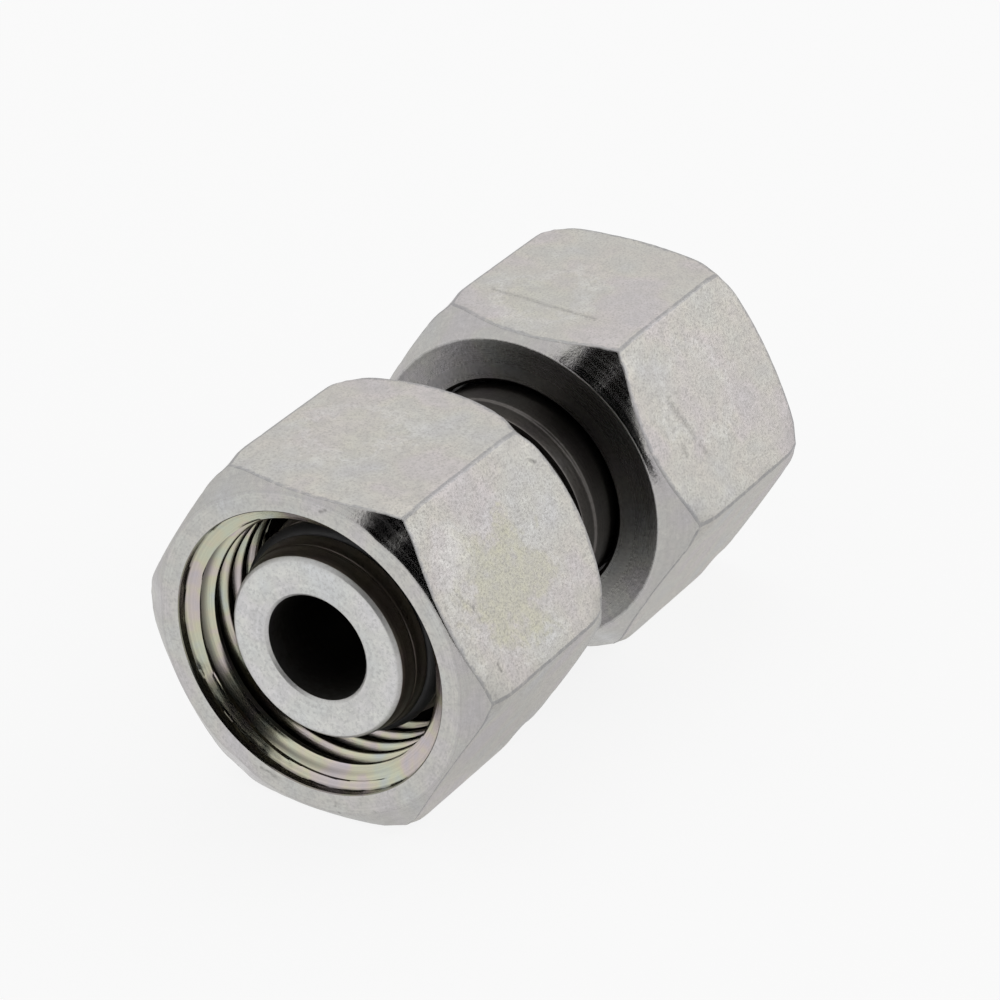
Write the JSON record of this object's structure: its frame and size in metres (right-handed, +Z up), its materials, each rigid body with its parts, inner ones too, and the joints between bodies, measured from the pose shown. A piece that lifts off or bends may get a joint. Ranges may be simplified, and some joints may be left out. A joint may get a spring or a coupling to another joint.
{
  "type": "straight compression fitting",
  "caption": "Straight hydraulic tube fitting: a turned connector with a sealed 24 degree cone at each end, held in swivelling hexagon union nuts.",
  "frame": {"origin": "middle of the fitting, on the axis of the flow bore", "axes": "+X along the flow bore towards the right-hand nut's mouth, +Z up, square to the nuts' upper flats; -Z points at the flats that the fitting lies on"},
  "size_m": [0.0394, 0.0252, 0.022],
  "materials": {
    "plated_connector": "turned steel, zinc plated and passivated, satin",
    "plated_nut": "tumbled hexagon steel, zinc plated and passivated, matt",
    "seal_rubber": "matt black nitrile rubber",
    "retaining_ring": "flat spring steel strip"
  },
  "bodies": {
    "connector": {"connector_body": "plated_connector", "left_o_ring": "seal_rubber", "right_o_ring": "seal_rubber"},
    "left_nut": {"left_union_nut": "plated_nut", "left_retaining_ring": "retaining_ring"},
    "right_nut": {"right_union_nut": "plated_nut", "right_retaining_ring": "retaining_ring"}
  },
  "joints": [
    {"name": "left_nut_swivel", "type": "hinge", "parent": "connector", "child": "left_nut", "pos_m": [-0.0118, 0, 0], "axis": [1, 0, 0], "continuous": true},
    {"name": "right_nut_swivel", "type": "hinge", "parent": "connector", "child": "right_nut", "pos_m": [0.0118, 0, 0], "axis": [1, 0, 0], "continuous": true}
  ]
}
